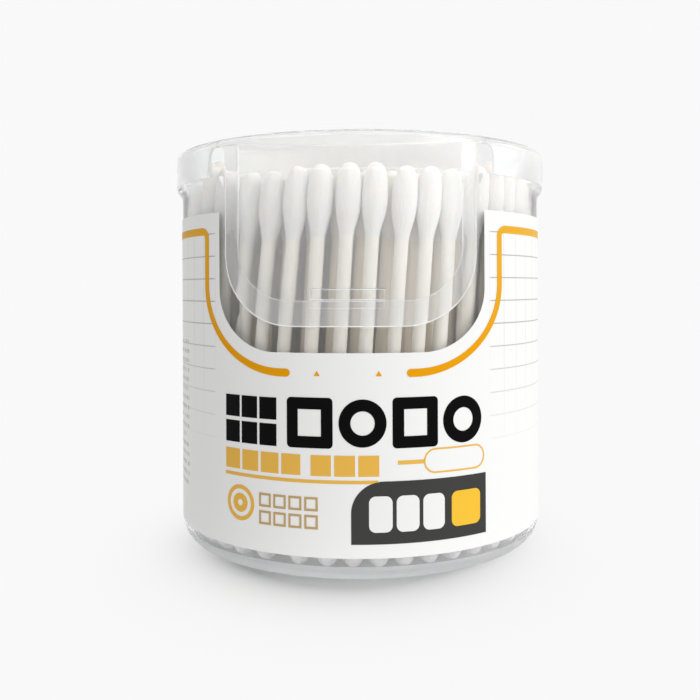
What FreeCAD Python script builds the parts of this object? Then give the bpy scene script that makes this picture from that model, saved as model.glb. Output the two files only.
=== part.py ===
import FreeCAD, Part
import Sketcher
import math
import os
import re

# Cotton swab tub: a clear round tub with a printed label, a lid whose hinged front flap hangs
# over a U-shaped notch in the wall, and 200 paper swabs standing in rows round its axis.
# The tub stands on z = 0 with its axis on Z, and the flap faces -Y.
# Lengths are millimetres and angles degrees, counted from the front towards +X.

sizes = {
    # tub
    "bodyRadius": 38.5,
    "wallThickness": 0.9,
    "baseCorner": 4.9,
    "footWidth": 2.2,
    "floorRecess": 1.0,
    "floorThickness": 1.7,
    "beadHeight": 2.1,
    "beadWidth": 1.0,
    "beadEndGap": 0.6,
    "rimGap": 0.3,
    # notch in the front wall
    "notchHalfWidth": 20.5,
    "notchDepth": 23.2,
    "notchCorner": 10.0,
    # lid
    "lidClearance": 0.3,
    "lidWall": 0.9,
    "lidPlate": 1.0,
    "lidEdge": 1.2,
    "skirtHeight": 6.0,
    "slotWidth": 3.2,
    "slotTopGap": 0.3,
    "hingeGap": 0.15,
    # flap's apron, which covers the notch
    "apronSideOverlap": 2.8,
    "apronLowerOverlap": 4.8,
    "apronCorner": 13.0,
    "apronThickness": 0.65,
    # catch at the notch's lower edge
    "catchAngle": 19.7,
    "catchBlockHeight": 1.9,
    "catchPadHeight": 1.3,
    "catchPadThickness": 0.2,
    "catchGap": 0.2,
    "catchBudGap": 0.05,
    # label film
    "filmThickness": 0.15,
    "labelTopDrop": 6.6,
    "labelFootGap": 0.2,
    "windowSideGap": 1.6,
    "windowLowerGap": 4.6,
    "windowCorner": 11.5,
    # swabs
    "swabLength": 73.5,
    "swabFloorGap": 0.05,
    "swabRise": 2.25,
    "stickRadius": 1.3,
    "budLength": 12.5,
    "budTip": 2.0,
    "budTipRadius": 1.2,
    "budShoulder": 1.6,
    "budShoulderRadius": 1.85,
    "budTaper": 7.0,
    "budNeckSkin": 0.15,
    "budWallGap": 0.15,
    "rowGap": 0.06,
    "innermostRow": 4.03,
    "frontSwabGap": 0.6,
    "innerSwabGap": 0.35,
    "rowTurnAngle": -1.5,
    # ink, and the line that follows the window
    "inkThickness": 0.05,
    "lineWidth": 1.45,
    "lineSideWidth": 1.0,
    "lineHalfWidth": 27.95,
    "lineDrop": 3.45,
    "lineTopCorner": 1.2,
    "lineCurve": 15.8,
    "lineEnd": 11.2,
    "lineBelowWindow": 3.6,
    "arrowAngle": 8.2,
    "arrowWidth": 1.1,
    "arrowHeight": 0.95,
    # title blocks
    "titleBottom": 24.5,
    "titleHeight": 9.0,
    "titleStartAngle": -10.3,
    "titlePitchAngle": 14.2,
    "titleWidth": 8.5,
    "titleStroke": 2.1,
    "titleCorner": 0.8,
    "leadStartAngle": -34.6,
    "leadPitchAngle": 6.1,
    "leadWidth": 3.6,
    "leadHeight": 4.0,
    "leadRowPitch": 4.75,
    # line under the title
    "subtitleBottom": 19.6,
    "subtitleHeight": 3.7,
    "subtitleWidth": 3.7,
    "subtitlePitchAngle": 6.35,
    "subtitleStartAngle": -34.6,
    "subtitleSecondAngle": -7.2,
    "ruleHeight": 18.6,
    "ruleWidth": 0.6,
    "ruleStartAngle": -37.5,
    "ruleEndAngle": 7.9,
    # pill with its lead line
    "pillAngle": 30.0,
    "pillLength": 13.0,
    "pillHeight": 4.5,
    "pillBottom": 19.7,
    "pillStroke": 0.3,
    "dashStartAngle": 13.2,
    "dashWidth": 0.7,
    # round target
    "targetAngle": -31.8,
    "targetHeight": 13.4,
    "targetRadius": 3.3,
    "targetStroke": 0.75,
    "targetInner": 1.75,
    "targetHole": 0.6,
    # small tan blocks
    "noteStartAngle": -23.4,
    "notePitchAngle": 4.5,
    "noteWidth": 2.5,
    "noteHeight": 2.5,
    "noteStroke": 0.4,
    "noteBottom": 10.1,
    "noteRowPitch": 3.2,
    # dark panel with its blocks
    "panelLeftAngle": 0.8,
    "panelRightAngle": 40.2,
    "panelBottom": 7.6,
    "panelHeight": 11.1,
    "panelCorner": 5.6,
    "countStartAngle": 8.6,
    "countPitchAngle": 7.3,
    "countWidth": 4.2,
    "countBottom": 9.7,
    "countHeight": 6.4,
    "countCorner": 1.2,
    "unitAngle": 33.2,
    "unitWidth": 6.4,
}

# rows of swabs from the wall to the middle
swab_rows = 8

derived = {
    "floorTop": "floorRecess + floorThickness",
    "swabBottom": "floorTop + swabFloorGap",
    "swabTop": "swabBottom + swabLength",
    "seatHeight": "swabTop - swabRise",
    "plateUnder": "seatHeight + skirtHeight",
    "lidTop": "plateUnder + lidPlate",
    "rimTop": "plateUnder - rimGap",
    "innerRadius": "bodyRadius - wallThickness",
    "cornerCentre": "bodyRadius - baseCorner",
    "footInner": "cornerCentre - footWidth",
    "innerCorner": "baseCorner - wallThickness",
    "floorRadius": "cornerCentre + sqrt(innerCorner ^ 2 - (baseCorner - floorTop) ^ 2)",
    "beadBottom": "seatHeight - beadHeight",
    "skirtInner": "bodyRadius + lidClearance",
    "lidRadius": "skirtInner + lidWall",
    "apronRadius": "skirtInner + apronThickness",
    "notchBottom": "seatHeight - notchDepth",
    "notchFlat": "notchHalfWidth - notchCorner",
    "apronBottom": "notchBottom - apronLowerOverlap",
    "apronHalfWidth": "notchHalfWidth + apronSideOverlap",
    "apronFlat": "apronHalfWidth - apronCorner",
    "slotHalf": "slotWidth / 2",
    "slotCentre": "apronHalfWidth + slotHalf",
    "slotOuter": "apronHalfWidth + slotWidth",
    "slotTop": "plateUnder - slotTopGap",
    "slotSpring": "slotTop - slotHalf",
    "hingeOffset": "sqrt(lidRadius ^ 2 - slotCentre ^ 2)",
    "beadEnd": "apronHalfWidth + beadEndGap",
    "beadAngle": "360 - 2 * asin(beadEnd / bodyRadius) / 1 deg",
    "budSpace": "innerRadius - budWallGap - innermostRow",
    "budRadius": f"(budSpace - {swab_rows - 1} * rowGap) / {2 * swab_rows - 1}",
    "frontRowRadius": "innerRadius - budWallGap - budRadius",
    "rowStep": "2 * budRadius + rowGap",
    "catchRadius": "frontRowRadius + budRadius + catchBudGap",
    "catchPadTop": "notchBottom",
    "catchBlockBottom": "notchBottom + catchGap",
    "labelRadius": "bodyRadius + filmThickness",
    "labelTop": "seatHeight - labelTopDrop",
    "labelBottom": "baseCorner + labelFootGap",
    "windowHalfWidth": "apronHalfWidth + windowSideGap",
    "windowFlat": "windowHalfWidth - windowCorner",
    "windowBottom": "apronBottom - windowLowerGap",
    "inkRadius": "labelRadius + inkThickness",
    "secondInkRadius": "inkRadius + inkThickness",
    "lineTop": "labelTop - lineDrop",
    "lineBottom": "windowBottom - lineBelowWindow",
}

doc = FreeCAD.newDocument("cotton_swab_tub")
sheet = doc.addObject("Spreadsheet::Sheet", "sizes")
for row, (name, value) in enumerate({**sizes, **derived}.items(), start=1):
    sheet.set(f"A{row}", name)
    sheet.set(f"B{row}", f"={value}" if name in derived else str(value))
    sheet.setAlias(f"B{row}", name)
doc.recompute()

aliases = re.compile(r"\b(" + "|".join({**sizes, **derived}) + r")\b")
overshoot = 3.0
parts = []


def bound(expression):
    return aliases.sub(r"sizes.\1", str(expression))


def number(expression):
    return float(sheet.evalExpression(bound(expression)))


def tie(feature, property_name, expression):
    feature.setExpression(property_name, bound(expression))


def new_body(name):
    body = doc.addObject("PartDesign::Body", name)
    body.Label = name
    body.Placement = FreeCAD.Placement()
    body.AllowCompound = True
    parts.append(body)
    return body


def origin_feature(body, role):
    return next(item for item in body.Origin.OriginFeatures if item.Role == role)


def new_sketch(body, name, plane="XZ_Plane", out="0", turn="0", forward="0"):
    """A sketch on one of the body's planes, moved out along its first axis, turned about its
    second axis and moved forward along its normal."""
    sketch = body.newObject("Sketcher::SketchObject", f"{body.Label}_{name}")
    sketch.AttachmentSupport = (origin_feature(body, plane), [""])
    sketch.MapMode = "FlatFace"
    if turn != "0":
        upright = FreeCAD.Rotation(FreeCAD.Vector(0, 1, 0), 1)
        sketch.AttachmentOffset = FreeCAD.Placement(FreeCAD.Vector(), upright)
        tie(sketch, "AttachmentOffset.Rotation.Angle", f"({turn} + 360) * 1 deg")
    if out != "0":
        tie(sketch, "AttachmentOffset.Base.x", out)
    if forward != "0":
        tie(sketch, "AttachmentOffset.Base.z", forward)
    return sketch


def hold_point(sketch, geometry, end, x, y):
    """Ties a sketch point to the place that two expressions give."""
    if x == "0":
        sketch.addConstraint(Sketcher.Constraint("PointOnObject", geometry, end, -2))
    else:
        index = sketch.addConstraint(
            Sketcher.Constraint("DistanceX", -1, 1, geometry, end, number(x))
        )
        tie(sketch, f"Constraints[{index}]", x)
    if y == "0":
        sketch.addConstraint(Sketcher.Constraint("PointOnObject", geometry, end, -1))
    else:
        index = sketch.addConstraint(
            Sketcher.Constraint("DistanceY", -1, 1, geometry, end, number(y))
        )
        tie(sketch, f"Constraints[{index}]", y)


def draw_outline(sketch, corners):
    """A closed outline. A corner is (x, y), or (x, y, radius, centre x, centre y) where an arc
    of that radius ends."""
    ends = []
    points = [FreeCAD.Vector(number(c[0]), number(c[1]), 0) for c in corners]
    for index, corner in enumerate(corners):
        start, end = points[index - 1], points[index]
        if len(corner) == 2:
            line = sketch.addGeometry(Part.LineSegment(start, end), False)
            ends.append((line, 1, 2))
            continue
        radius = number(corner[2])
        centre = FreeCAD.Vector(number(corner[3]), number(corner[4]), 0)
        forwards = (start - centre).cross(end - centre).z > 0
        first, last = (start, end) if forwards else (end, start)
        angles = [math.atan2(p.y - centre.y, p.x - centre.x) for p in (first, last)]
        circle = Part.Circle(centre, FreeCAD.Vector(0, 0, 1), radius)
        arc = sketch.addGeometry(Part.ArcOfCircle(circle, *angles), False)
        ends.append((arc, 1, 2) if forwards else (arc, 2, 1))
    for index, corner in enumerate(corners):
        geometry, _, last = ends[index]
        following, first, _ = ends[(index + 1) % len(corners)]
        sketch.addConstraint(
            Sketcher.Constraint("Coincident", geometry, last, following, first)
        )
        hold_point(sketch, geometry, last, corner[0], corner[1])
        if len(corner) > 2:
            held = sketch.addConstraint(
                Sketcher.Constraint("Radius", geometry, number(corner[2]))
            )
            tie(sketch, f"Constraints[{held}]", corner[2])


def draw_circle(sketch, x, y, radius):
    centre = FreeCAD.Vector(number(x), number(y), 0)
    circle = Part.Circle(centre, FreeCAD.Vector(0, 0, 1), number(radius))
    geometry = sketch.addGeometry(circle, False)
    hold_point(sketch, geometry, 3, x, y)
    held = sketch.addConstraint(
        Sketcher.Constraint("Radius", geometry, number(radius))
    )
    tie(sketch, f"Constraints[{held}]", radius)


def rectangle(left, bottom, right, top):
    return [(left, bottom), (right, bottom), (right, top), (left, top)]


def centred(width, bottom, height):
    half = f"{width} / 2"
    return rectangle(f"-{half}", bottom, half, f"{bottom} + {height}")


def u_outline(half, flat, corner, bottom, top):
    """A U: flat at the bottom, two round corners and straight sides up to the top."""
    centre = f"{bottom} + {corner}"
    return [
        (flat, bottom),
        (half, centre, corner, flat, centre),
        (half, top),
        (f"-{half}", top),
        (f"-{half}", centre),
        (f"-{flat}", bottom, corner, f"-{flat}", centre),
    ]


def revolve(body, name, sketch, angle="360", cut=False):
    """Turns a profile about the sketch's upright axis, centred on the sketch's plane."""
    kind = "PartDesign::Groove" if cut else "PartDesign::Revolution"
    feature = body.newObject(kind, f"{body.Label}_{name}")
    feature.Profile = sketch
    feature.ReferenceAxis = (sketch, ["V_Axis"])
    feature.Midplane = angle != "360"
    feature.Angle = number(angle)
    tie(feature, "Angle", angle)
    sketch.Visibility = False
    body.Tip = feature
    return feature


def pad(body, name, sketch, length):
    feature = body.newObject("PartDesign::Pad", f"{body.Label}_{name}")
    feature.Profile = sketch
    feature.Length = number(length)
    tie(feature, "Length", length)
    body.Tip = feature
    return feature


def front_pocket(body, name, sketch):
    """Cuts from the axis plane out through the front wall only."""
    feature = body.newObject("PartDesign::Pocket", f"{body.Label}_{name}")
    feature.Profile = sketch
    feature.Reversed = True
    feature.Length = number("lidRadius") + overshoot
    tie(feature, "Length", f"lidRadius + {overshoot}")
    body.Tip = feature
    return feature


def polar_copies(body, name, feature, count, spacing=None):
    """Copies round the tub's axis: all the way round, or a few at a spacing."""
    pattern = body.newObject("PartDesign::PolarPattern", f"{body.Label}_{name}")
    pattern.Originals = [feature]
    pattern.Axis = (origin_feature(body, "Z_Axis"), [""])
    if spacing:
        pattern.Mode = "Spacing"
        pattern.Offset = number(spacing)
        tie(pattern, "Offset", spacing)
    else:
        pattern.Angle = 360
    pattern.Occurrences = count
    body.Tip = pattern
    return pattern


def make_tub():
    body = new_body("tub_body")
    shell = new_sketch(body, "profile")
    draw_outline(
        shell,
        [
            ("0", "floorRecess"),
            ("footInner", "floorRecess"),
            ("footInner", "0"),
            ("cornerCentre", "0"),
            ("bodyRadius", "baseCorner", "baseCorner", "cornerCentre", "baseCorner"),
            ("bodyRadius", "rimTop"),
            ("innerRadius", "rimTop"),
            ("innerRadius", "baseCorner"),
            ("floorRadius", "floorTop", "innerCorner", "cornerCentre", "baseCorner"),
            ("0", "floorTop"),
        ],
    )
    revolve(body, "wall", shell)
    notch = new_sketch(body, "notch_outline")
    notch_top = f"rimTop + {overshoot}"
    draw_outline(
        notch, u_outline("notchHalfWidth", "notchFlat", "notchCorner", "notchBottom", notch_top)
    )
    front_pocket(body, "notch", notch)
    bead = new_sketch(body, "bead_profile", "YZ_Plane")
    draw_outline(
        bead,
        [
            ("bodyRadius - wallThickness / 2", "beadBottom"),
            ("bodyRadius", "beadBottom"),
            ("bodyRadius + beadWidth", "seatHeight - beadHeight / 3"),
            ("bodyRadius + beadWidth", "seatHeight"),
            ("bodyRadius - wallThickness / 2", "seatHeight"),
        ],
    )
    revolve(body, "bead", bead, "beadAngle")
    catch = new_sketch(body, "catch_profile", "YZ_Plane")
    draw_outline(
        catch,
        rectangle(
            "-bodyRadius - catchPadThickness",
            "catchPadTop - catchPadHeight",
            "-bodyRadius + wallThickness / 2",
            "catchPadTop",
        ),
    )
    revolve(body, "catch_pad", catch, "catchAngle")
    return body


def make_lid():
    body = new_body("lid")
    shell = new_sketch(body, "profile")
    draw_outline(
        shell,
        [
            ("0", "plateUnder"),
            ("skirtInner", "plateUnder"),
            ("skirtInner", "seatHeight"),
            ("lidRadius", "seatHeight"),
            ("lidRadius", "lidTop - lidEdge"),
            (
                "lidRadius - lidEdge",
                "lidTop",
                "lidEdge",
                "lidRadius - lidEdge",
                "lidTop - lidEdge",
            ),
            ("0", "lidTop"),
        ],
    )
    revolve(body, "shell", shell)
    front = new_sketch(body, "front_outline", forward="hingeOffset - hingeGap")
    side = f"lidRadius + {overshoot}"
    low = f"seatHeight - {overshoot}"
    draw_outline(front, rectangle(f"-{side}", low, side, f"lidTop + {overshoot}"))
    front_pocket(body, "front_cut", front)
    for side_name, sign in (("left", "-"), ("right", "")):
        slot = new_sketch(body, f"{side_name}_slot_outline")
        inner, centre, outer = (
            f"{sign}apronHalfWidth",
            f"{sign}slotCentre",
            f"{sign}slotOuter",
        )
        draw_outline(
            slot,
            [
                (inner, low),
                (outer, low),
                (outer, "slotSpring"),
                (centre, "slotTop", "slotHalf", centre, "slotSpring"),
                (inner, "slotSpring", "slotHalf", centre, "slotSpring"),
            ],
        )
        front_pocket(body, f"{side_name}_slot", slot)
    return body


def make_flap():
    body = new_body("flap")
    outline = new_sketch(body, "outline", forward="hingeOffset + hingeGap")
    spring = "apronBottom + apronCorner"
    plate_top = f"lidTop + {overshoot}"
    corners = [
        ("apronFlat", "apronBottom"),
        ("apronHalfWidth", spring, "apronCorner", "apronFlat", spring),
        ("apronHalfWidth", "slotSpring"),
        ("slotCentre", "slotTop", "slotHalf", "slotCentre", "slotSpring"),
        ("slotCentre", plate_top),
        ("-slotCentre", plate_top),
        ("-slotCentre", "slotTop"),
        ("-apronHalfWidth", "slotSpring", "slotHalf", "-slotCentre", "slotSpring"),
        ("-apronHalfWidth", spring),
        ("-apronFlat", "apronBottom", "apronCorner", "-apronFlat", spring),
    ]
    draw_outline(outline, corners)
    pad(body, "block", outline, f"lidRadius - hingeOffset + {overshoot}")
    outside = new_sketch(body, "outer_profile")
    low = f"apronBottom - {overshoot}"
    far = "2 * lidRadius"
    draw_outline(
        outside,
        [
            ("apronRadius", low),
            (far, low),
            (far, f"lidTop + 2 * {overshoot}"),
            ("0", f"lidTop + 2 * {overshoot}"),
            ("0", "lidTop"),
            ("lidRadius - lidEdge", "lidTop"),
            (
                "lidRadius",
                "lidTop - lidEdge",
                "lidEdge",
                "lidRadius - lidEdge",
                "lidTop - lidEdge",
            ),
            ("lidRadius", "seatHeight"),
            ("apronRadius", "seatHeight"),
        ],
    )
    revolve(body, "outer_face", outside, cut=True)
    inside = new_sketch(body, "inner_profile")
    draw_outline(inside, rectangle("0", low, "skirtInner", "plateUnder"))
    revolve(body, "inner_face", inside, cut=True)
    catch = new_sketch(body, "catch_profile", "YZ_Plane")
    draw_outline(
        catch,
        rectangle(
            "-skirtInner - apronThickness / 2",
            "catchBlockBottom",
            "-catchRadius",
            "catchBlockBottom + catchBlockHeight",
        ),
    )
    revolve(body, "catch_block", catch, "catchAngle")
    return body


def make_label():
    body = new_body("label")
    film = new_sketch(body, "profile")
    draw_outline(film, rectangle("bodyRadius", "labelBottom", "labelRadius", "labelTop"))
    revolve(body, "film", film)
    window = new_sketch(body, "window_outline")
    window_top = f"labelTop + {overshoot}"
    draw_outline(
        window,
        u_outline("windowHalfWidth", "windowFlat", "windowCorner", "windowBottom", window_top),
    )
    front_pocket(body, "window", window)
    return body


def keep_ink_layer(body, inner, outer):
    """Trims pads that start at the axis to one thin layer on the label's face."""
    low = f"labelBottom - {overshoot}"
    high = f"labelTop + {overshoot}"
    outside = new_sketch(body, "outer_profile")
    draw_outline(outside, rectangle(outer, low, "2 * lidRadius", high))
    revolve(body, "outer_face", outside, cut=True)
    inside = new_sketch(body, "inner_profile")
    draw_outline(inside, rectangle("0", low, inner, high))
    revolve(body, "inner_face", inside, cut=True)


def stamp(body, name, angle, outlines, circles=()):
    """Pads outlines outwards from the axis at an angle round the tub."""
    sketch = new_sketch(body, f"{name}_outline", turn=angle)
    for corners in outlines:
        draw_outline(sketch, corners)
    for x, y, radius in circles:
        draw_circle(sketch, x, y, radius)
    return pad(body, name, sketch, f"lidRadius + {overshoot}")


def stamp_row(body, name, start, pitch, count, outlines):
    first = stamp(body, name, start, outlines)
    polar_copies(body, f"{name}_copies", first, count, pitch)


def stripe(body, name, start, end, bottom, height, inner, outer):
    """A band of ink round the wall from one angle to another."""
    middle = f"({start} + {end}) / 2 - 90"
    profile = new_sketch(body, f"{name}_profile", turn=middle)
    draw_outline(profile, rectangle(inner, bottom, outer, f"{bottom} + {height}"))
    revolve(body, name, profile, f"{end} - ({start})")


def ring_band(half_length, height, bottom, stroke):
    """Outer and inner outline of a pill shape drawn as a thin line."""
    outlines = []
    for inset in ("0", stroke):
        radius = f"({height} / 2 - {inset})"
        flat = f"({half_length} - {height} / 2)"
        middle = f"({bottom} + {height} / 2)"
        low = f"({bottom} + {inset})"
        high = f"({bottom} + {height} - {inset})"
        outlines.append(
            [
                (flat, low),
                (f"{flat} + {radius}", middle, radius, flat, middle),
                (flat, high, radius, flat, middle),
                (f"-{flat}", high),
                (f"-{flat} - {radius}", middle, radius, f"-{flat}", middle),
                (f"-{flat}", low, radius, f"-{flat}", middle),
            ]
        )
    return outlines


def rounded(width, bottom, height, corner):
    """A rectangle with four round corners, centred on the sketch's upright axis."""
    half = f"({width} / 2)"
    flat = f"({width} / 2 - {corner})"
    top = f"({bottom} + {height})"
    low = f"({bottom} + {corner})"
    high = f"({bottom} + {height} - {corner})"
    return [
        (flat, bottom),
        (half, low, corner, flat, low),
        (half, high),
        (flat, top, corner, flat, high),
        (f"-{flat}", top),
        (f"-{half}", high, corner, f"-{flat}", high),
        (f"-{half}", low),
        (f"-{flat}", bottom, corner, f"-{flat}", low),
    ]


def window_line(sign):
    """One side of the line that follows the window, from its round end to its upper corner. Its
    upright run is drawn narrower, because the curved wall widens it."""
    thick, side = "lineWidth / 2", "lineSideWidth / 2"
    low, high = f"lineBottom - {thick}", f"lineBottom + {thick}"
    under, over = f"lineTop - {thick}", f"lineTop + {thick}"
    middle, turn = "lineBottom + lineCurve", "lineTop - lineTopCorner"
    outer, inner = f"(lineHalfWidth + {side})", f"(lineHalfWidth - {side})"
    wide, tight = f"(lineCurve + {thick})", f"(lineCurve - {thick})"
    wide_x, tight_x = f"{sign}({outer} - {wide})", f"{sign}({inner} - {tight})"
    corner, bend = f"(lineTopCorner - {thick})", f"(lineTopCorner + {thick})"
    corner_x, bend_x = f"{sign}({outer} + {corner})", f"{sign}({inner} + {bend})"
    end_x = f"{sign}lineEnd"
    return [
        (end_x, low, thick, end_x, "lineBottom"),
        (wide_x, low),
        (f"{sign}{outer}", middle, wide, wide_x, middle),
        (f"{sign}{outer}", turn),
        (corner_x, under, corner, corner_x, turn),
        (bend_x, over),
        (f"{sign}{inner}", turn, bend, bend_x, turn),
        (f"{sign}{inner}", middle),
        (tight_x, high, tight, tight_x, middle),
        (end_x, high),
        (f"{sign}(lineEnd - {thick})", "lineBottom", thick, end_x, "lineBottom"),
    ]


def make_orange_print():
    body = new_body("print_orange")
    stamp(body, "left_line", "0", [window_line("-")])
    stamp(body, "right_line", "0", [window_line("")])
    arrow = [
        ("arrowWidth / 2", "lineBottom - arrowHeight / 2"),
        ("0", "lineBottom + arrowHeight / 2"),
        ("-arrowWidth / 2", "lineBottom - arrowHeight / 2"),
    ]
    stamp_row(body, "arrow", "-arrowAngle", "2 * arrowAngle", 2, [arrow])
    block = centred("subtitleWidth", "subtitleBottom", "subtitleHeight")
    stamp_row(body, "first_words", "subtitleStartAngle", "subtitlePitchAngle", 4, [block])
    stamp_row(body, "second_words", "subtitleSecondAngle", "subtitlePitchAngle", 3, [block])
    stamp(
        body,
        "pill",
        "pillAngle",
        ring_band("pillLength / 2", "pillHeight", "pillBottom", "pillStroke"),
    )
    rings = ["targetRadius", "targetRadius - targetStroke", "targetInner", "targetHole"]
    circles = [("0", "targetHeight", radius) for radius in rings]
    stamp(body, "target", "targetAngle", [], circles)
    keep_ink_layer(body, "labelRadius", "inkRadius")
    ink = ("labelRadius", "inkRadius")
    reach = "lineHalfWidth + lineSideWidth / 2 + lineTopCorner - lineWidth / 2"
    start = f"asin(({reach}) / labelRadius) / 1 deg"
    stripe(body, "top_line", start, f"360 - {start}", "lineTop - lineWidth / 2", "lineWidth", *ink)
    stripe(body, "rule", "ruleStartAngle", "ruleEndAngle", "ruleHeight - ruleWidth / 2", "ruleWidth", *ink)
    dash_end = "pillAngle - asin(pillLength / 2 / labelRadius) / 1 deg"
    dash_bottom = "pillBottom + pillHeight / 2 - dashWidth / 2"
    stripe(body, "dash", "dashStartAngle", dash_end, dash_bottom, "dashWidth", *ink)
    return body


def make_black_print():
    body = new_body("print_black")
    hole = "titleWidth - 2 * titleStroke"
    frame = [
        rounded("titleWidth", "titleBottom", "titleHeight", "titleCorner"),
        centred(f"({hole})", "titleBottom + titleStroke", "titleHeight - 2 * titleStroke"),
    ]
    stamp_row(body, "squares", "titleStartAngle", "2 * titlePitchAngle", 2, frame)
    ring = new_sketch(body, "ring_outline", turn="titleStartAngle + titlePitchAngle")
    middle = "titleBottom + titleHeight / 2"
    draw_circle(ring, "0", middle, "titleWidth / 2")
    draw_circle(ring, "0", middle, f"({hole}) / 2")
    first = pad(body, "ring", ring, f"lidRadius + {overshoot}")
    polar_copies(body, "rings", first, 2, "2 * titlePitchAngle")
    for row in range(2):
        block = centred("leadWidth", f"titleBottom + {row} * leadRowPitch", "leadHeight")
        stamp_row(body, f"lead_{row}", "leadStartAngle", "leadPitchAngle", 3, [block])
    keep_ink_layer(body, "labelRadius", "inkRadius")
    return body


def make_tan_print():
    body = new_body("print_tan")
    for row in range(2):
        bottom = f"noteBottom + {row} * noteRowPitch"
        frame = [
            centred("noteWidth", bottom, "noteHeight"),
            centred(
                "(noteWidth - 2 * noteStroke)",
                f"{bottom} + noteStroke",
                "(noteHeight - 2 * noteStroke)",
            ),
        ]
        stamp_row(body, f"note_{row}", "noteStartAngle", "notePitchAngle", 4, frame)
    keep_ink_layer(body, "labelRadius", "inkRadius")
    return body


def make_panel_print():
    """The dark panel, whose upper left corner is a large round one."""
    body = new_body("print_panel")
    half = "labelRadius * sin((panelRightAngle - panelLeftAngle) / 2)"
    flat = f"panelCorner - {half}"
    top = "panelBottom + panelHeight"
    corners = [
        (half, "panelBottom"),
        (half, top),
        (flat, top),
        (f"-{half}", f"{top} - panelCorner", "panelCorner", flat, f"{top} - panelCorner"),
        (f"-{half}", "panelBottom"),
    ]
    stamp(body, "panel", "(panelLeftAngle + panelRightAngle) / 2", [corners])
    keep_ink_layer(body, "labelRadius", "inkRadius")
    return body


def make_count_prints():
    """White and yellow blocks printed over the dark panel."""
    white = new_body("print_white")
    block = rounded("countWidth", "countBottom", "countHeight", "countCorner")
    stamp_row(white, "blocks", "countStartAngle", "countPitchAngle", 3, [block])
    keep_ink_layer(white, "inkRadius", "secondInkRadius")
    yellow = new_body("print_yellow")
    block = rounded("unitWidth", "countBottom", "countHeight", "countCorner")
    stamp(yellow, "block", "unitAngle", [block])
    keep_ink_layer(yellow, "inkRadius", "secondInkRadius")


def row_counts():
    """Number of swabs that fit in each row, from the wall inwards."""
    across = 2 * number("budRadius")
    gap = number("frontSwabGap")
    rows = []
    for index in range(swab_rows):
        radius = number(f"frontRowRadius - {index} * rowStep")
        rows.append(int(math.pi / math.asin((across + gap) / (2 * radius))))
        gap = number("innerSwabGap")
    return rows


def make_swab_row(index, count):
    radius = f"(frontRowRadius - {index} * rowStep)"
    turn = f"(rowTurnAngle * {index + 1})"
    place = {"out": f"{radius} * cos({turn})", "forward": f"-{radius} * sin({turn})"}
    stick = new_body(f"row_{index + 1}_sticks")
    profile = new_sketch(stick, "profile", **place)
    low = "swabBottom + budTip"
    high = "swabTop - budTip"
    draw_outline(profile, rectangle("0", low, "stickRadius", high))
    rod = revolve(stick, "stick", profile)
    polar_copies(stick, "ring", rod, count)
    for end_name, tip, inward in (("lower", "swabBottom", "+"), ("upper", "swabTop", "-")):
        buds = new_body(f"row_{index + 1}_{end_name}_buds")
        profile = new_sketch(buds, "profile", **place)
        neck = f"{tip} {inward} budLength"
        draw_outline(
            profile,
            [
                ("0", tip),
                ("budTipRadius", tip),
                ("budShoulderRadius", f"{tip} {inward} budShoulder"),
                ("budRadius", f"{tip} {inward} (budLength - budTaper)"),
                ("stickRadius + budNeckSkin", neck),
                ("stickRadius", neck),
                ("stickRadius", f"{tip} {inward} budTip"),
                ("0", f"{tip} {inward} budTip"),
            ],
        )
        bud = revolve(buds, "bud", profile)
        polar_copies(buds, "ring", bud, count)


def check_document():
    for item in doc.Objects:
        if "Invalid" in item.State or "Error" in item.State:
            raise RuntimeError(f"{item.Name} failed: {item.State}")
    for part in parts:
        if part.Shape.isNull() or not part.Shape.isValid():
            raise RuntimeError(f"{part.Label} has no valid shape")


make_tub()
make_lid()
make_flap()
make_label()
make_orange_print()
make_black_print()
make_tan_print()
make_panel_print()
make_count_prints()
counts = row_counts()
for index, count in enumerate(counts):
    make_swab_row(index, count)
doc.recompute()
check_document()
os.makedirs("parts", exist_ok=True)
for part in parts:
    part.Shape.exportStep(f"parts/{part.Label}.step")
    print(part.Label, len(part.Shape.Solids), round(part.Shape.Volume, 1))
print("swabs", sum(counts), counts)
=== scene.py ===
import math
import random

import bpy
from mathutils import Matrix, Vector


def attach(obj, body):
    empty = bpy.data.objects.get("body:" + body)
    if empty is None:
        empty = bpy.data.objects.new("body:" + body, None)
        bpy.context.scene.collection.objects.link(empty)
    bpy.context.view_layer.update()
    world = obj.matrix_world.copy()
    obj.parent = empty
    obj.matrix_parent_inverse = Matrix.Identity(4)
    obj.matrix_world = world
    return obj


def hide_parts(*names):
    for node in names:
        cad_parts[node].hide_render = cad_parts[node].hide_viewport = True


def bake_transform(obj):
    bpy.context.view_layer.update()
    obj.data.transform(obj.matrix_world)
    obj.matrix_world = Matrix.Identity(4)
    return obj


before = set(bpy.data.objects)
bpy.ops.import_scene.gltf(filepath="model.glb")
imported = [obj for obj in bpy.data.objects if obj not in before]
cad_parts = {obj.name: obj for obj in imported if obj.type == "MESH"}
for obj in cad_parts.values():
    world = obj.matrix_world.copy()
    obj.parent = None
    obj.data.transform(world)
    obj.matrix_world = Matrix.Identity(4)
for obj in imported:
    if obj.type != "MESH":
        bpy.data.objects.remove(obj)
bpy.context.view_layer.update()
print("frame loaded")

mm = 0.001
luck = random.Random(11)


# small helpers for modelling

def deselectAll():
    if bpy.context.object and bpy.context.object.mode == "EDIT":
        bpy.ops.object.mode_set(mode="OBJECT")
    bpy.ops.object.select_all(action="DESELECT")


def pick(piece):
    deselectAll()
    piece.select_set(True)
    bpy.context.view_layer.objects.active = piece


def addObject(name, data):
    piece = bpy.data.objects.new(name, data)
    bpy.context.scene.collection.objects.link(piece)
    return piece


def smooth(piece, angle):
    pick(piece)
    bpy.ops.object.shade_smooth_by_angle(angle=math.radians(angle))


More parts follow.
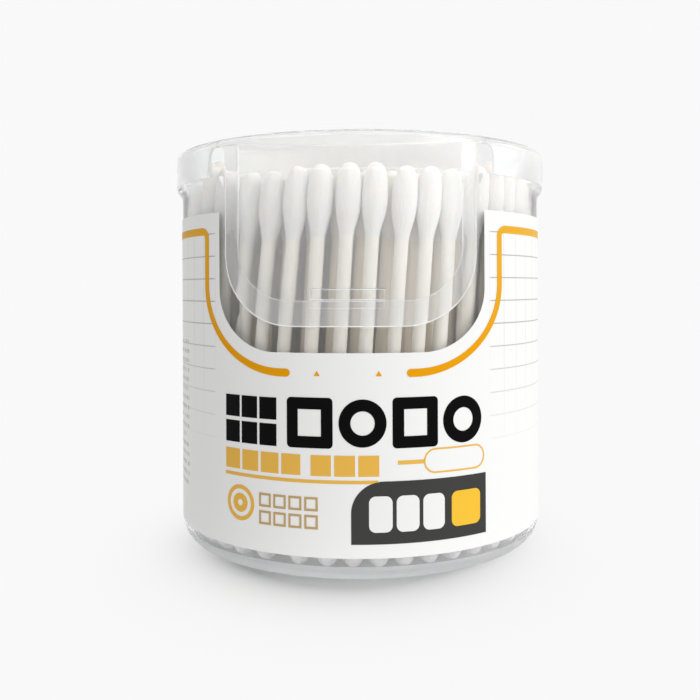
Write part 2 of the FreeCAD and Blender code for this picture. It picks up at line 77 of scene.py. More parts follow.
def applyModifiers(piece):
    pick(piece)
    for modifier in list(piece.modifiers):
        bpy.ops.object.modifier_apply(modifier=modifier.name)


def stackRings(name, segments, rings):
    # one disc, drawn out ring by ring: each ring is (radius, height) in millimetres
    deselectAll()
    radius, height = rings[0]
    bpy.ops.mesh.primitive_circle_add(
        vertices=segments, radius=radius * mm, fill_type="NGON", location=(0, 0, 0))
    piece = bpy.context.object
    piece.name = name
    bpy.ops.object.mode_set(mode="EDIT")
    bpy.ops.mesh.select_all(action="SELECT")
    bpy.ops.transform.translate(value=(0, 0, height * mm))
    for nextRadius, nextHeight in rings[1:]:
        bpy.ops.mesh.extrude_region_move(
            TRANSFORM_OT_translate={"value": (0, 0, (nextHeight - height) * mm)})
        grow = nextRadius / radius
        bpy.ops.transform.resize(value=(grow, grow, 1))
        radius, height = nextRadius, nextHeight
    bpy.ops.mesh.select_all(action="SELECT")
    bpy.ops.mesh.normals_make_consistent(inside=False)
    bpy.ops.object.mode_set(mode="OBJECT")
    return piece


def joinPieces(name, pieces):
    deselectAll()
    for piece in pieces:
        piece.select_set(True)
    bpy.context.view_layer.objects.active = pieces[0]
    bpy.ops.object.join()
    pieces[0].name = name
    pieces[0].data.name = name
    return pieces[0]


def finish(piece, body, slot, material, *nodes):
    piece.data.materials.clear()
    piece.data.materials.append(material)
    if nodes:
        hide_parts(*nodes)
    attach(piece, body)


cadCopy = {"weld": 2e-6, "flatAngle": 0.3, "bevelAngle": 42, "bevelSteps": 2, "smoothAngle": 38}


def dressNode(node, name, body, slot, material, bevel=0.0):
    # a merged copy of a moulded or printed solid, with soft edges where it needs them
    piece = addObject(name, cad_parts[node].data.copy())
    pick(piece)
    bpy.ops.object.mode_set(mode="EDIT")
    bpy.ops.mesh.select_all(action="SELECT")
    bpy.ops.mesh.remove_doubles(threshold=cadCopy["weld"])
    bpy.ops.mesh.dissolve_limited(angle_limit=math.radians(cadCopy["flatAngle"]))
    bpy.ops.object.mode_set(mode="OBJECT")
    if piece.data.has_custom_normals:
        bpy.ops.mesh.customdata_custom_splitnormals_clear()
    if bevel:
        rounding = piece.modifiers.new("rounding", "BEVEL")
        rounding.width = bevel * mm
        rounding.segments = cadCopy["bevelSteps"]
        rounding.limit_method = "ANGLE"
        rounding.angle_limit = math.radians(cadCopy["bevelAngle"])
        applyModifiers(piece)
    smooth(piece, cadCopy["smoothAngle"])
    finish(piece, body, slot, material, node)
    return piece


# small helpers for materials

def newMaterial(name, **values):
    material = bpy.data.materials.new(name)
    material.use_nodes = True
    tree = material.node_tree
    shader = tree.nodes["Principled BSDF"]
    for socket, value in values.items():
        shader.inputs[socket].default_value = value
    return material, tree, shader


def newGroup(name, inputs, outputs):
    group = bpy.data.node_groups.new(name, "ShaderNodeTree")
    for label, kind, value in inputs:
        socket = group.interface.new_socket(label, in_out="INPUT", socket_type=kind)
        socket.default_value = value
    for label, kind in outputs:
        group.interface.new_socket(label, in_out="OUTPUT", socket_type=kind)
    return group, group.nodes.new("NodeGroupInput"), group.nodes.new("NodeGroupOutput")


def placeGroup(tree, group, **values):
    node = tree.nodes.new("ShaderNodeGroup")
    node.node_tree = group
    for socket, value in values.items():
        node.inputs[socket].default_value = value
    return node


def feed(tree, socket, value):
    # a value is either another node's output or a plain number, vector or colour
    if isinstance(value, bpy.types.NodeSocket):
        tree.links.new(value, socket)
    else:
        socket.default_value = value


def calc(tree, operation, *values):
    node = tree.nodes.new("ShaderNodeMath")
    node.operation = operation
    for index, value in enumerate(values):
        feed(tree, node.inputs[index], value)
    return node.outputs[0]


def vectorCalc(tree, operation, first, second=None):
    node = tree.nodes.new("ShaderNodeVectorMath")
    node.operation = operation
    feed(tree, node.inputs[0], first)
    if second is not None:
        feed(tree, node.inputs[1], second)
    return node.outputs["Value" if operation in ("LENGTH", "DOT_PRODUCT") else "Vector"]


def ramp(tree, value, low, high, fromMin=0.0, fromMax=1.0):
    node = tree.nodes.new("ShaderNodeMapRange")
    for socket, end in (("From Min", fromMin), ("From Max", fromMax), ("To Min", low), ("To Max", high),
                        ("Value", value)):
        feed(tree, node.inputs[socket], end)
    return node.outputs[0]


def mixColour(tree, mask, first, second):
    node = tree.nodes.new("ShaderNodeMix")
    node.data_type = "RGBA"
    for index, value in ((0, mask), (6, first), (7, second)):
        feed(tree, node.inputs[index], value)
    return node.outputs[2]


def noise(tree, where, scale, detail):
    node = tree.nodes.new("ShaderNodeTexNoise")
    for socket, value in (("Vector", where), ("Scale", scale), ("Detail", detail)):
        feed(tree, node.inputs[socket], value)
    return node.outputs[0]


def bump(tree, height, strength, distance):
    node = tree.nodes.new("ShaderNodeBump")
    for socket, value in (("Strength", strength), ("Distance", distance), ("Height", height)):
        feed(tree, node.inputs[socket], value)
    return node.outputs[0]


def objectPlace(tree):
    return tree.nodes.new("ShaderNodeTexCoord").outputs["Object"]


def splitPlace(tree):
    split = tree.nodes.new("ShaderNodeSeparateXYZ")
    tree.links.new(objectPlace(tree), split.inputs[0])
    return split.outputs


def combine(tree, *values):
    node = tree.nodes.new("ShaderNodeCombineXYZ")
    for index, value in enumerate(values):
        feed(tree, node.inputs[index], value)
    return node.outputs[0]


# fine grain stretched along the upright axis, used on cotton, paper, film and ink
mottle = {"scaleShare": 0.13, "detail": 2.0}
grainGroup, grainIn, grainOut = newGroup(
    "fineGrain",
    [("Scale", "NodeSocketFloat", 900.0), ("Stretch", "NodeSocketFloat", 1.0), ("Detail", "NodeSocketFloat", 4.0)],
    [("Height", "NodeSocketFloat"), ("Mottle", "NodeSocketFloat")])
grainPlace = vectorCalc(
    grainGroup, "MULTIPLY", objectPlace(grainGroup), combine(grainGroup, 1.0, 1.0, grainIn.outputs["Stretch"]))
grainGroup.links.new(
    noise(grainGroup, grainPlace, grainIn.outputs["Scale"], grainIn.outputs["Detail"]), grainOut.inputs["Height"])
mottleScale = calc(grainGroup, "MULTIPLY", grainIn.outputs["Scale"], mottle["scaleShare"])
grainGroup.links.new(noise(grainGroup, grainPlace, mottleScale, mottle["detail"]), grainOut.inputs["Mottle"])

# faint cloudiness and hairline scuffs of cheap clear mouldings
cloud = {"scale": 70.0, "detail": 3.0, "from": 0.35, "to": 0.7}
scuff = {"scale": 420.0, "detail": 5.0, "from": 0.55, "to": 0.75}
hazeGroup, hazeIn, hazeOut = newGroup(
    "mouldedHaze",
    [("Clear", "NodeSocketColor", (0.9, 0.92, 0.92, 1)), ("Cloudy", "NodeSocketColor", (0.8, 0.82, 0.83, 1)),
     ("Polish", "NodeSocketFloat", 0.06), ("Scuff", "NodeSocketFloat", 0.2)],
    [("Color", "NodeSocketColor"), ("Roughness", "NodeSocketFloat"), ("Height", "NodeSocketFloat")])
hazePlace = objectPlace(hazeGroup)
cloudNoise = noise(hazeGroup, hazePlace, cloud["scale"], cloud["detail"])
cloudMask = ramp(hazeGroup, cloudNoise, 0.0, 1.0, cloud["from"], cloud["to"])
scuffNoise = noise(hazeGroup, hazePlace, scuff["scale"], scuff["detail"])
scuffMask = ramp(hazeGroup, scuffNoise, 0.0, 1.0, scuff["from"], scuff["to"])
hazeColor = mixColour(hazeGroup, cloudMask, hazeIn.outputs["Clear"], hazeIn.outputs["Cloudy"])
hazeRoughness = calc(hazeGroup, "MULTIPLY_ADD", scuffMask, hazeIn.outputs["Scuff"], hazeIn.outputs["Polish"])
for socket, value in (("Color", hazeColor), ("Roughness", hazeRoughness), ("Height", cloudNoise)):
    hazeGroup.links.new(value, hazeOut.inputs[socket])


def clearPlastic(name, settings):
    material, tree, shader = newMaterial(name, **{
        "Transmission Weight": settings["transmission"], "IOR": settings["ior"],
        "Specular IOR Level": settings["specular"], "Emission Color": (1, 1, 1, 1),
        "Emission Strength": settings["paintedGlow"]})
    haze = placeGroup(tree, hazeGroup, Clear=settings["clear"], Cloudy=settings["cloudy"],
                      Polish=settings["polish"], Scuff=settings["scuff"])
    tree.links.new(haze.outputs["Color"], shader.inputs["Base Color"])
    tree.links.new(haze.outputs["Roughness"], shader.inputs["Roughness"])
    ripple = bump(tree, haze.outputs["Height"], settings["ripple"], settings["rippleDepth"])
    tree.links.new(ripple, shader.inputs["Normal"])
    # light passes the clear wall to reach the swabs
    rays = tree.nodes.new("ShaderNodeLightPath")
    opaque = calc(tree, "MULTIPLY_ADD", rays.outputs["Is Shadow Ray"], -settings["shadowPass"], 1.0)
    tree.links.new(opaque, shader.inputs["Alpha"])
    return material


# the lid and flap glow a little through their emission: painted light that stands for the milkiness of many thin
# clear layers
tubPlastic = {"transmission": 0.95, "ior": 1.32, "specular": 0.5, "clear": (1, 1, 1, 1),
              "cloudy": (0.98, 0.985, 0.99, 1), "polish": 0.05, "scuff": 0.12, "ripple": 0.12,
              "rippleDepth": 0.0006, "shadowPass": 0.98, "paintedGlow": 0.0}
basePlastic = dict(tubPlastic, transmission=0.6, polish=0.3, clear=(0.83, 0.835, 0.84, 1),
                   cloudy=(0.78, 0.785, 0.79, 1))
# a darker copy of the base plastic: painted shade along the bottom edge at the floor
shadedFootPlastic = dict(basePlastic, clear=(0.66, 0.665, 0.67, 1), cloudy=(0.62, 0.625, 0.63, 1))
# the lid and flap glow a little through their emission: painted light
lidPlastic = dict(tubPlastic, transmission=0.78, polish=0.12, ripple=0.08, paintedGlow=0.04)
flapPlastic = dict(lidPlastic, transmission=0.86, paintedGlow=0.01)
# a darker grey copy of the lid plastic: painted shade on the lid's rounded upper edge
shadedRimPlastic = dict(lidPlastic, clear=(0.72, 0.725, 0.73, 1), cloudy=(0.68, 0.685, 0.69, 1), paintedGlow=0.0)
# an opaque white copy of the lid plastic that keeps its faint glow: a painted highlight for cut edges
edgeHighlightPlastic = dict(lidPlastic, transmission=0.0, polish=0.25, cloudy=(1, 1, 1, 1), shadowPass=0.7)
tubMaterial = clearPlastic("clearTub", tubPlastic)
baseMaterial = clearPlastic("thickBase", basePlastic)
shadedFootMaterial = clearPlastic("paintedShadeFootEdge", shadedFootPlastic)
lidMaterial = clearPlastic("clearLid", lidPlastic)
flapMaterial = clearPlastic("clearFlap", flapPlastic)
shadedRimMaterial = clearPlastic("paintedShadeLidRim", shadedRimPlastic)
edgeHighlightMaterial = clearPlastic("paintedEdgeHighlight", edgeHighlightPlastic)


def fibrous(name, look, tone, **values):
    # mottled between the two colours of a tone, with fibres along the upright axis
    shade, color = look[tone]
    material, tree, shader = newMaterial(name, **values)
    grain = placeGroup(tree, grainGroup, Scale=look["fibre"], Stretch=look["stretch"], Detail=look["detail"])
    tree.links.new(mixColour(tree, grain.outputs["Mottle"], shade, color), shader.inputs["Base Color"])
    tree.links.new(bump(tree, grain.outputs["Height"], look["bump"], look["depth"]), shader.inputs["Normal"])
    return material


cottonLook = {"fibre": 2600.0, "stretch": 0.3, "detail": 5.0, "bump": 0.5, "depth": 0.0003,
              "upper": ((0.8, 0.785, 0.745, 1), (0.86, 0.852, 0.827, 1)),
              "shadedInner": ((0.79, 0.745, 0.665, 1), (0.86, 0.82, 0.75, 1)),
              "lower": ((0.95, 0.945, 0.93, 1), (0.98, 0.975, 0.965, 1))}
cottonValues = {"Roughness": 0.95, "Specular IOR Level": 0.1, "Sheen Weight": 0.35, "Sheen Roughness": 0.6,
                "Subsurface Weight": 0.3, "Subsurface Scale": 0.0012}
cotton = fibrous("woundCotton", cottonLook, "upper", **cottonValues)
# darker, warmer copy of the cotton for the inner rows: painted shade between the swabs
shadedInnerCotton = fibrous("shadedInnerCotton", cottonLook, "shadedInner", **cottonValues)
# a lighter copy of the cotton for the lower heads: painted light on the heads by the foot
paintedLitCotton = fibrous("paintedLitCotton", cottonLook, "lower", **cottonValues)

paperLook = {"fibre": 1500.0, "stretch": 0.12, "detail": 3.0, "bump": 0.25, "depth": 0.0002,
             "front": ((0.84, 0.8, 0.71, 1), (0.89, 0.855, 0.775, 1)),
             "shadedInner": ((0.74, 0.63, 0.46, 1), (0.87, 0.77, 0.6, 1))}
paperValues = {"Roughness": 0.75, "Specular IOR Level": 0.25}
paper = fibrous("rolledPaper", paperLook, "front", **paperValues)
# darker, warmer copy of the paper for the inner rows: painted shade between the swabs
shadedInnerPaper = fibrous("shadedInnerPaper", paperLook, "shadedInner", **paperValues)
print("clear plastic, cotton and paper ready")


# the swabs: a ring of finely made ones behind the wall, plain ones inside

swab = {"length": 73.5, "bottom": 2.75, "stickRadius": 1.28, "stickSunk": 6.0, "leanInset": 4.0,
        "rows": [44, 40, 34, 28, 22, 17, 11, 4], "rowTurn": -1.5, "frontRadius": 35.15, "rowStep": 4.46,
        "twistedRows": 5, "firstSeen": -5, "drop": 0.6, "unevenness": 0.022, "smoothAngle": 60,
        "footStray": 1.0, "headStray": 0.7, "innerStray": 0.6}
# angles round the tub at which the heads of the foremost swabs stand, the first of them at place firstSeen
seenHeads = [-42.5, -31.7, -23.4, -15.4, -8.1, 0.4, 8.0, 17.1, 24.7, 32.0, 42.2, 49.6]
# and how far their feet stand from the regular places
footShift = [0, -1.0, -1.5, -0.5, 2.5, 3.0, 2.5, 1.7, 1.0, 0.6, 0, 0]
# a head's outline from its tip down to the stick: radius, distance from the tip
headOutline = [(0.4, 0.02), (0.95, 0.2), (1.42, 0.62), (1.8, 1.3), (2.07, 2.2), (2.25, 3.3), (2.36, 4.6),
               (2.4, 6.0), (2.37, 7.3), (2.25, 8.6), (2.04, 9.8), (1.78, 10.9), (1.55, 11.9), (1.4, 12.7),
               (1.3, 13.4)]
plainOutline = [(0.9, 0.1), (1.85, 1.5), (2.2, 4.8), (2.05, 8.8), (1.36, 12.9)]


def makeMasters(headSides, stickSides, outline):
    top, radius, sunk = swab["length"], swab["stickRadius"], swab["stickSunk"]
    upperRings = [(width, top - away) for width, away in reversed(outline)]
    return {"upper": stackRings("upperHead", headSides, upperRings),
            "lower": stackRings("lowerHead", headSides, outline),
            "stick": stackRings("stick", stickSides, [
                (radius, height) for height in (sunk, top / 3, 2 * top / 3, top - sunk)])}


def roughen(piece, seed, amount):
    # wound cotton is never quite round
    for vertex in piece.data.vertices:
        angle = math.atan2(vertex.co.y, vertex.co.x)
        swell = math.sin(2 * angle + seed) * 0.5 + math.sin(3 * angle + vertex.co.z * 900 + 2.3 * seed) * 0.35
        swell += math.sin(5 * angle - vertex.co.z * 1500 + 3.1 * seed) * 0.2
        vertex.co.x *= 1 + amount * swell
        vertex.co.y *= 1 + amount * swell


def roundTub(radius, angle):
    # an angle of 0 is the front
    return Vector((radius * math.sin(math.radians(angle)), -radius * math.cos(math.radians(angle)), 0)) * mm


def swabPlace(radius, lowAngle, highAngle):
    # the matrix that stands a swab on its lower angle and leans it to its upper one
    low = roundTub(radius, lowAngle)
    rise = Vector((0, 0, (swab["length"] - swab["leanInset"]) * mm))
    lean = Vector((0, 0, 1)).rotation_difference(roundTub(radius, highAngle) + rise - low)
    spin = Matrix.Rotation(luck.uniform(0, 2 * math.pi), 4, "Z")
    foot = Matrix.Translation(low + Vector((0, 0, swab["bottom"] * mm)))
    return foot @ lean.to_matrix().to_4x4() @ spin


def stray(name):
    return luck.uniform(-swab[name], swab[name])


def swabAngles(row, count):
    # the bundle is twisted: a swab's foot stands one place to the left of its head
    step = 360 / count
    if row:
        twist = step if row < swab["twistedRows"] else 0
        regular = [swab["rowTurn"] * (row + 1) + step * index for index in range(count)]
        return [(angle - twist, angle + stray("innerStray")) for angle in regular]
    angles = []
    for index in range(count):
        place = index if index <= count // 2 else index - count
        angle = swab["rowTurn"] + step * place
        seen = place - swab["firstSeen"]
        if 0 <= seen < len(seenHeads):
            angles.append((angle - step + footShift[seen], seenHeads[seen]))
        else:
            angles.append((angle - step + stray("footStray"), angle + stray("headStray")))
    return angles


def makeRow(row, count, masters):
    radius = swab["frontRadius"] - row * swab["rowStep"]
    made = {kind: [] for kind in masters}
    for lowAngle, highAngle in swabAngles(row, count):
        stand = swabPlace(radius, lowAngle, highAngle)
        drop = Matrix.Translation((0, 0, -luck.uniform(0, swab["drop"]) * mm))
        for kind, master in masters.items():
            copy = addObject(master.name, master.data.copy())
            if row == 0 and kind != "stick":
                roughen(copy, luck.uniform(0, 6), swab["unevenness"])
            copy.data.transform(stand @ drop if kind == "upper" else stand)
            made[kind].append(copy)
    number = row + 1
    # inner rows take darker, warmer cotton and paper: painted shade between the swabs
    for kind, name, node, slot, material in (
            ("upper", "UpperHeads", "upper_buds", "cotton", shadedInnerCotton if row else cotton),
            # lower heads take the lighter cotton copy: painted light
            ("lower", "LowerHeads", "lower_buds", "cotton", paintedLitCotton),
            ("stick", "Sticks", "sticks", "paper_stick", shadedInnerPaper if row else paper)):
        piece = joinPieces(f"row{number}{name}", made[kind])
        smooth(piece, swab["smoothAngle"])
        finish(piece, "tub", slot, material, f"row_{number}_{node}")


fineMasters = makeMasters(20, 16, headOutline)
plainMasters = makeMasters(8, 6, plainOutline)
for row, count in enumerate(swab["rows"]):
    makeRow(row, count, plainMasters if row else fineMasters)
for master in (*fineMasters.values(), *plainMasters.values()):
    bpy.data.objects.remove(master)
print("swabs standing")


# label film with its faint grid, measured in millimetres up and round the wall

label = {"radius": 38.65, "color": (0.93, 0.928, 0.92, 1), "line": (0.3, 0.3, 0.29, 1), "pitch": 4.3,
         "gridTop": 63.4, "gridEnd": 63.6, "gridLeft": 42.0, "gridStrength": 0.8, "uprightShare": 0.35,
         "lineWidth": 0.15, "lineCore": 0.35, "gridFrom": (28.0, 29.0), "gridFade": (22.0, 46.0),
         "grain": 260.0, "stretch": 0.6, "detail": 2.0, "bump": 0.06, "depth": 0.0004}
labelMaterial, labelTree, labelShader = newMaterial("printedFilm", **{
    "Roughness": 0.38, "Specular IOR Level": 0.45})


def onLabel(operation, *values):
    return calc(labelTree, operation, *values)


def gridLine(value, start):
    share = onLabel("FRACT", onLabel("DIVIDE", onLabel("SUBTRACT", value, start), label["pitch"]))
    away = onLabel("ABSOLUTE", onLabel("SUBTRACT", share, 0.5))
    edge = label["lineWidth"] / label["pitch"]
    return ramp(labelTree, away, 0.0, 1.0, 0.5 - edge, 0.5 - edge * label["lineCore"])


labelX, labelY, labelZ = splitPlace(labelTree)
turnAngle = onLabel("ARCTAN2", labelX, onLabel("MULTIPLY", labelY, -1.0))  # 0 at the front
signedArc = onLabel("MULTIPLY", turnAngle, label["radius"])
arc = onLabel("MULTIPLY", onLabel("ABSOLUTE", turnAngle), label["radius"])
height = onLabel("MULTIPLY", labelZ, 1000.0)
upright = gridLine(arc, math.radians(label["gridLeft"]) * label["radius"])
level = gridLine(height, label["gridTop"])
lines = onLabel("MAXIMUM", onLabel("MULTIPLY", upright, label["uprightShare"]), level)
beside = onLabel("MULTIPLY", lines, ramp(labelTree, arc, 0.0, 1.0, *label["gridFrom"]))
fade = ramp(labelTree, height, 0.0, 1.0, *label["gridFade"])
shown = onLabel("MULTIPLY", beside, onLabel("MULTIPLY", fade, onLabel("LESS_THAN", height, label["gridEnd"])))
shown = onLabel("MULTIPLY", shown, label["gridStrength"])
gridded = mixColour(labelTree, shown, label["color"], label["line"])

# rows of small grey dashes stand for the fine print on the left side
finePrint = {"color": (0.36, 0.34, 0.31, 1), "left": -70.0, "right": -40.5, "bottom": 13.0, "top": 43.0,
             "rowPitch": 1.9, "rowShare": 0.42, "dashScale": 1.4, "rowShift": 7.31, "dashFrom": 0.47,
             "strength": 0.6}
rowPlace = onLabel("DIVIDE", height, finePrint["rowPitch"])
inRow = onLabel("LESS_THAN", onLabel("FRACT", rowPlace), finePrint["rowShare"])
dashPlace = combine(labelTree, onLabel("MULTIPLY", signedArc, finePrint["dashScale"]),
                    onLabel("MULTIPLY", onLabel("FLOOR", rowPlace), finePrint["rowShift"]))
dashNoise = noise(labelTree, dashPlace, 1.0, 1.0)
printed = onLabel("MULTIPLY", inRow, onLabel("GREATER_THAN", dashNoise, finePrint["dashFrom"]))
for value, operation, limit in ((signedArc, "GREATER_THAN", "left"), (signedArc, "LESS_THAN", "right"),
                                (height, "GREATER_THAN", "bottom"), (height, "LESS_THAN", "top")):
    printed = onLabel("MULTIPLY", printed, onLabel(operation, value, finePrint[limit]))
printed = onLabel("MULTIPLY", printed, finePrint["strength"])
labelTree.links.new(mixColour(labelTree, printed, gridded, finePrint["color"]), labelShader.inputs["Base Color"])
labelGrain = placeGroup(
    labelTree, grainGroup, Scale=label["grain"], Stretch=label["stretch"], Detail=label["detail"])
labelTree.links.new(
    bump(labelTree, labelGrain.outputs["Height"], label["bump"], label["depth"]), labelShader.inputs["Normal"])
dressNode("label", "labelFilm", "tub", "label_film", labelMaterial)

# of the orange print, the small part under the title is paler than the line round the window, whose ends are
# more golden
inkLook = {"specular": 0.04, "grain": 1400.0, "detail": 2.0, "roughnessSpread": 0.05, "paleUnder": 0.03,
           "goldenFrom": (0.042, 0.06)}
inks = {
    "orange": {"color": (0.86, 0.375, 0.003, 1), "shade": (0.82, 0.36, 0.002, 1), "roughness": 0.4,
               "pale": (0.86, 0.5, 0.088, 1), "golden": (0.83, 0.44, 0.028, 1)},
    "black": {"color": (0.002, 0.002, 0.002, 1), "shade": (0.004, 0.004, 0.004, 1), "roughness": 0.5},
    "tan": {"color": (0.58, 0.4, 0.18, 1), "shade": (0.55, 0.37, 0.16, 1), "roughness": 0.42},
    "panel": {"color": (0.06, 0.06, 0.058, 1), "shade": (0.052, 0.052, 0.05, 1), "roughness": 0.42},
    "white": {"color": (0.93, 0.93, 0.92, 1), "shade": (0.9, 0.9, 0.89, 1), "roughness": 0.42},
    "yellow": {"color": (0.95, 0.57, 0.05, 1), "shade": (0.93, 0.55, 0.045, 1), "roughness": 0.42},
}


def ink(name, settings):
    material, tree, shader = newMaterial(name, **{"Specular IOR Level": inkLook["specular"]})
    grain = placeGroup(tree, grainGroup, Scale=inkLook["grain"], Stretch=1.0, Detail=inkLook["detail"])
    tone = mixColour(tree, grain.outputs["Mottle"], settings["shade"], settings["color"])
    if "pale" in settings:
        height = splitPlace(tree)[2]
        tone = mixColour(tree, ramp(tree, height, 0.0, 1.0, *inkLook["goldenFrom"]), tone, settings["golden"])
        tone = mixColour(tree, calc(tree, "GREATER_THAN", height, inkLook["paleUnder"]), settings["pale"], tone)
    tree.links.new(tone, shader.inputs["Base Color"])
    roughness, spread = settings["roughness"], inkLook["roughnessSpread"]
    tree.links.new(
        ramp(tree, grain.outputs["Height"], roughness - spread, roughness + spread), shader.inputs["Roughness"])
    return material


for tone, settings in inks.items():
    dressNode(f"print_{tone}", f"{tone}Print", "tub", f"ink_{tone}", ink(f"{tone}Ink", settings))
print("label and print on")


# clear mouldings

tub = {"bevel": 0.14, "baseTop": 3.3, "footTop": 0.9, "rimEndHeights": (69, 76), "rimEndRadius": 37.8,
       "rimEndFront": -28, "rimEndTurn": 0.7}
tubShell = dressNode("tub_body", "tubShell", "tub", "tub", tubMaterial, bevel=tub["bevel"])
for extra in (baseMaterial, edgeHighlightMaterial, shadedFootMaterial):
    tubShell.data.materials.append(extra)
rimEndLow, rimEndHigh = tub["rimEndHeights"]
for face in tubShell.data.polygons:
    if face.center.z < tub["baseTop"] * mm:
        # the lowest faces take the darker foot copy: painted shade at the floor contact
        face.material_index = 1 if face.center.z > tub["footTop"] * mm else 3
    # the cut ends of the rim beside the window take the opaque white edge copy: a painted highlight
    atRim = rimEndLow * mm < face.center.z < rimEndHigh * mm and face.center.xy.length > tub["rimEndRadius"] * mm
    if atRim and abs(face.normal.x) > tub["rimEndTurn"] and face.center.y < tub["rimEndFront"] * mm:
        face.material_index = 2

lid = {"bevel": 0.14, "edgeFrom": 80.5, "edgeTurn": (0.5, 0.98)}
lidShell = dressNode("lid", "lidShell", "lid", "lid", lidMaterial, bevel=lid["bevel"])
flapShell = dressNode("flap", "flapShell", "flap", "lid", flapMaterial, bevel=lid["bevel"])
# the rounded upper edge gets a darker grey copy of the lid plastic: painted shade that shows as a thin grey line
for shell in (lidShell, flapShell):
    shell.data.materials.append(shadedRimMaterial)
    for face in shell.data.polygons:
        if face.center.z > lid["edgeFrom"] * mm and lid["edgeTurn"][0] < face.normal.z < lid["edgeTurn"][1]:
            face.material_index = 1


def scoop(settings, cornerSteps=12, lowerSteps=8):
    # down one side, round two corners and up the other side
    half, corner, bottom = settings["half"], settings["corner"], settings["bottom"]
    side = [(-half, settings["top"])]
    for step in range(cornerSteps + 1):
        angle = math.radians(180 + 90 * step / cornerSteps)
        side.append((-half + corner + corner * math.cos(angle), bottom + corner + corner * math.sin(angle)))
    flat = half - corner
    lower = [(-flat + 2 * flat * step / lowerSteps, bottom) for step in range(1, lowerSteps)]
    return side + lower + [(-x, z) for x, z in reversed(side)]


def oblong(settings, steps=6):
    half, low, high = settings["half"], settings["bottom"], settings["top"]
    lower = [(-half + 2 * half * step / steps, low) for step in range(steps + 1)]
    return lower + [(x, high) for x, _ in reversed(lower)] + [(-half, low)]


bead = {"resolution": 1, "smoothAngle": 60}


def edgeLine(name, body, slot, settings, outline):
    # the light that a clear wall gathers along its cut edge, painted as a thin white, faintly glowing bead just
    # inside the wall
    points = outline(settings)
    path = bpy.data.curves.new(name, "CURVE")
    path.dimensions = "3D"
    path.bevel_depth = settings["thickness"] * mm
    path.bevel_resolution = bead["resolution"]
    spline = path.splines.new("POLY")
    spline.points.add(len(points) - 1)
    for point, (x, z) in zip(spline.points, points):
        point.co = (x * mm, -math.sqrt(settings["radius"] ** 2 - x ** 2) * mm, z * mm, 1)
    pick(addObject(name, path))
    bpy.ops.object.convert(target="MESH")
    line = bpy.context.object
    smooth(line, bead["smoothAngle"])
    finish(line, body, slot, edgeHighlightMaterial)


flapEdge = {"half": 23.14, "corner": 12.84, "bottom": 46.16, "top": 76.0, "radius": 39.3, "thickness": 0.1}
notchEdge = {"half": 20.6, "corner": 10.1, "bottom": 50.7, "top": 72.0, "radius": 38.38, "thickness": 0.06}
blockEdge = {"half": 6.62, "bottom": 50.9, "top": 52.65, "radius": 39.3, "thickness": 0.06}
padEdge = {"half": 6.55, "bottom": 49.4, "top": 50.6, "radius": 38.62, "thickness": 0.05}
edgeLine("flapEdge", "flap", "lid", flapEdge, scoop)
edgeLine("notchEdge", "tub", "tub", notchEdge, scoop)
edgeLine("blockEdge", "flap", "lid", blockEdge, oblong)
edgeLine("padEdge", "tub", "tub", padEdge, oblong)

# the lid's own thin plastic, which bends where the flap hangs on it
web = {"halfLength": 23.4, "offset": 30.92, "halfGap": 0.2, "bottom": 80.45, "top": 80.92, "smoothAngle": 30}
deselectAll()
bpy.ops.mesh.primitive_grid_add(
    x_subdivisions=12, y_subdivisions=10, size=2, location=(0, -web["offset"] * mm, web["bottom"] * mm))
hingeWeb = bpy.context.object
hingeWeb.name = "hingeWeb"
bpy.ops.object.mode_set(mode="EDIT")
bpy.ops.mesh.select_all(action="SELECT")
bpy.ops.transform.resize(value=(web["halfLength"] * mm, web["halfGap"] * mm, 1))
bpy.ops.mesh.extrude_region_move(
    TRANSFORM_OT_translate={"value": (0, 0, (web["top"] - web["bottom"]) * mm)})
bpy.ops.mesh.select_all(action="SELECT")
bpy.ops.mesh.normals_make_consistent(inside=False)
bpy.ops.object.mode_set(mode="OBJECT")
bpy.ops.object.transform_apply(location=True, rotation=True, scale=True)
smooth(hingeWeb, web["smoothAngle"])
hingeWeb.data.materials.append(lidMaterial)
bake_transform(hingeWeb)
print("tub, lid and flap moulded")


# studio

studio = {"floorColor": (0.6, 0.6, 0.6, 1), "floorGlow": 0.06, "floorRadius": 6.0,
          "backdrop": (0.947, 0.947, 0.947, 1), "surround": 0.84, "leftSurround": 0.0,
          "left": (-0.98, -0.1, 0), "leftFrom": (0.25, 0.65), "floorBounce": 0.9, "nearBounce": 1.0,
          "shadowFoot": 0.0325, "shadowReach": 0.007, "shadowCentre": (-0.0012, -0.006, 0),
          "shadowShape": (1.2, 1, 1), "lampAim": (0, 0, 0.045)}


def seenRays(tree):
    # the rays that show floor and backdrop straight on, mirrored or through clear plastic
    rays = tree.nodes.new("ShaderNodeLightPath")
    indirect = calc(tree, "MAXIMUM", rays.outputs["Is Glossy Ray"], rays.outputs["Is Transmission Ray"])
    return calc(tree, "MAXIMUM", rays.outputs["Is Camera Ray"], indirect), rays.outputs["Diffuse Depth"]


deselectAll()
bpy.ops.mesh.primitive_circle_add(
    vertices=96, radius=studio["floorRadius"], fill_type="NGON", location=(0, 0, 0))
floor = bpy.context.object
floor.name = "paleFloor"
floorMaterial, floorTree, floorShader = newMaterial("paleFloor", **{
    "Roughness": 0.9, "Specular IOR Level": 0.0, "Emission Color": (1, 1, 1, 1)})
floorOffset = vectorCalc(floorTree, "SUBTRACT", objectPlace(floorTree), studio["shadowCentre"])
floorDistance = vectorCalc(
    floorTree, "LENGTH", vectorCalc(floorTree, "MULTIPLY", floorOffset, studio["shadowShape"]))
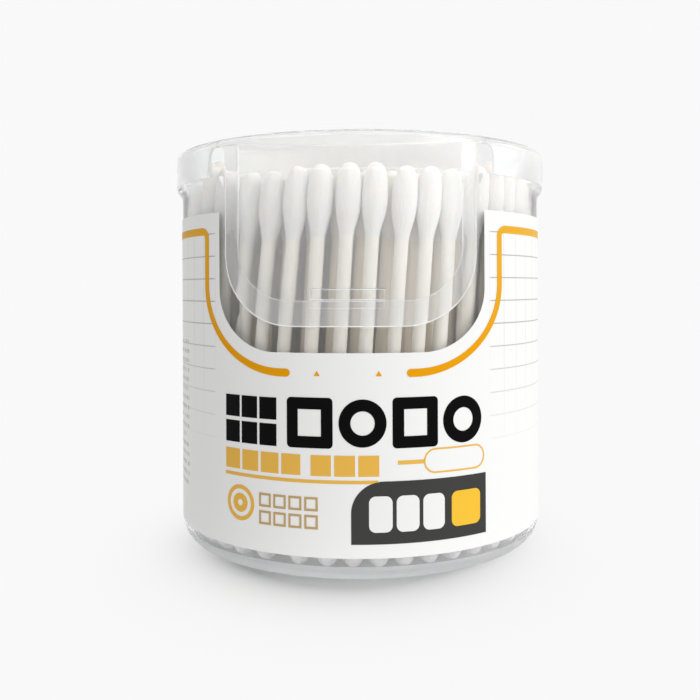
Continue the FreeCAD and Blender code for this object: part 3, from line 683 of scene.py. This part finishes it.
# the shadow is kept close round the tub's foot; farther out the floor is as pale as the backdrop
awayFromFoot = calc(floorTree, "MAXIMUM", calc(floorTree, "SUBTRACT", floorDistance, studio["shadowFoot"]), 0.0)
nearFoot = calc(floorTree, "EXPONENT", calc(floorTree, "DIVIDE", awayFromFoot, -studio["shadowReach"]))
floorTree.links.new(
    mixColour(floorTree, nearFoot, (0, 0, 0, 1), studio["floorColor"]), floorShader.inputs["Base Color"])
seen, diffuseDepth = seenRays(floorTree)
# light on its way from a dull surface through the clear base counts as bounced light
seen = calc(floorTree, "MULTIPLY", seen, calc(floorTree, "LESS_THAN", diffuseDepth, 0.5))
farGlow = ramp(floorTree, seen, studio["floorBounce"], studio["backdrop"][0])
nearGlow = ramp(floorTree, seen, studio["nearBounce"], studio["floorGlow"])
floorTree.links.new(ramp(floorTree, nearFoot, farGlow, nearGlow), floorShader.inputs["Emission Strength"])
floor.data.materials.append(floorMaterial)

world = bpy.data.worlds.new("studio")
bpy.context.scene.world = world
world.use_nodes = True
worldTree = world.node_tree
background = worldTree.nodes["Background"]
background.inputs["Color"].default_value = studio["backdrop"]
# the room is darker on the left
direction = worldTree.nodes.new("ShaderNodeTexCoord").outputs["Generated"]
leftwards = vectorCalc(worldTree, "DOT_PRODUCT", direction, studio["left"])
room = ramp(worldTree, leftwards, studio["surround"], studio["leftSurround"], *studio["leftFrom"])
worldTree.links.new(ramp(worldTree, seenRays(worldTree)[0], room, 1.0), background.inputs["Strength"])


def areaLamp(name, where, size, power):
    lamp = bpy.data.lights.new(name, "AREA")
    lamp.shape = "RECTANGLE"
    lamp.size, lamp.size_y = size
    lamp.energy = power
    holder = addObject(name, lamp)
    holder.location = where
    holder.rotation_euler = (Vector(studio["lampAim"]) - Vector(where)).to_track_quat("-Z", "Y").to_euler()


areaLamp("keyLamp", (0.6, -0.38, 0.42), (0.4, 0.4), 1.68)
areaLamp("fillLamp", (-0.3, -0.6, 0.3), (0.5, 0.5), 0.1)
areaLamp("topLamp", (0.05, 0.2, 0.7), (0.5, 0.5), 0.8)

view = {"distance": 0.1871, "height": 0.0529, "azimuth": 3.4, "lens": 43.26, "shiftX": -0.01447,
        "shiftY": -0.08836, "roll": 0.004, "nearest": 0.005}
lens = bpy.data.cameras.new("photographCamera")
lens.lens = view["lens"]
lens.sensor_width = 36.0
lens.shift_x = view["shiftX"]
lens.shift_y = view["shiftY"]
lens.clip_start = view["nearest"]
cameraObject = addObject("photographCamera", lens)
turn = math.radians(view["azimuth"])
cameraObject.location = (view["distance"] * math.sin(turn), -view["distance"] * math.cos(turn), view["height"])
cameraObject.rotation_euler = (math.pi / 2, view["roll"], turn)
bpy.context.scene.camera = cameraObject
bpy.context.scene.view_settings.view_transform = "Standard"
print("studio lit")
